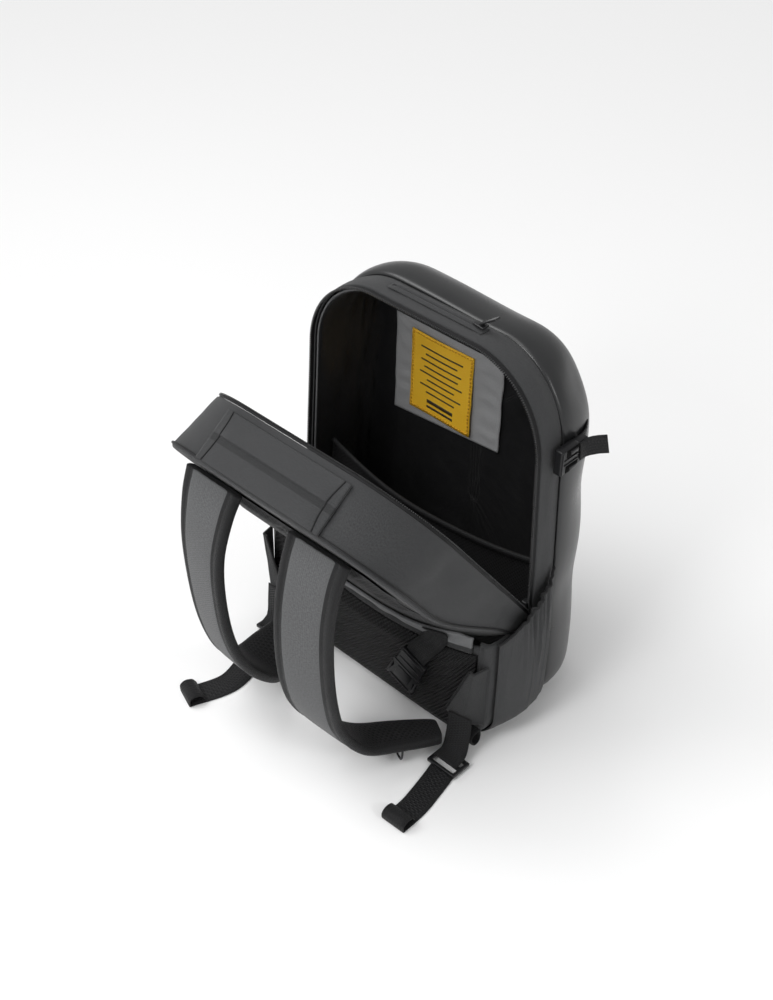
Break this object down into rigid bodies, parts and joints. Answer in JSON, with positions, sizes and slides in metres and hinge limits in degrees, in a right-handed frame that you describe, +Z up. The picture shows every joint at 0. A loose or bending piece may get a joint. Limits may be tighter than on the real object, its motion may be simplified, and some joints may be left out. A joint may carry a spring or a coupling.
{
  "type": "hard shell backpack",
  "caption": "Upright backpack with a moulded hard front, unzipped so that its padded back panel leans out over the shoulder straps.",
  "frame": {"origin": "on the floor under the main zip's plane, midway across the bag", "axes": "+Z up, +Y from the wearer's back to the hard shell, +X to the right as seen from the wearer's side"},
  "size_m": [0.3235, 0.3249, 0.4217],
  "materials": {
    "shell": "satin dark gray moulded shell",
    "fabric": "charcoal woven polyester",
    "lining": "black satin lining",
    "panel": "gray lining cloth, slightly creased",
    "label": "yellow printed cloth label, left plain",
    "mesh": "black spacer mesh",
    "zip": "black zip tape",
    "webbing": "black woven webbing",
    "plastic": "black acetal hardware"
  },
  "bodies": {
    "bag": {"shell": "shell", "body_wall": "fabric", "lining": "lining", "lining_panel": "panel", "label": "label", "mesh_pocket": "mesh", "flap": "fabric", "rim_tape": "zip", "flap_tape": "zip", "back_pad": "mesh", "lumbar_pad": "mesh", "fold_strip": "fabric", "shoulder_strap_right": "fabric", "shoulder_strap_left": "fabric", "grab_handle": "fabric", "side_pocket": "fabric", "d_ring_right": "plastic", "anchor_right": "fabric", "ladder_lock_right": "plastic", "webbing_tail_right": "webbing", "strap_webbing_right": "webbing", "d_ring_left": "plastic", "anchor_left": "fabric", "ladder_lock_left": "plastic", "webbing_tail_left": "webbing", "strap_webbing_left": "webbing", "side_buckle_socket": "plastic", "side_buckle_plug": "plastic", "side_webbing": "webbing", "side_webbing_tail": "webbing", "top_welt": "zip", "top_slider": "plastic", "main_slider": "plastic", "lumbar_webbing": "webbing", "lumbar_buckle": "plastic", "floor_loop": "webbing", "inner_strap": "webbing"},
    "pull": {"top_pull": "plastic"}
  },
  "joints": [
    {"name": "top_pull_hinge", "type": "hinge", "parent": "bag", "child": "pull", "pos_m": [0.0515, 0.0165, 0.4089], "axis": [0, 1, 0], "range_deg": [-140, 30]}
  ]
}
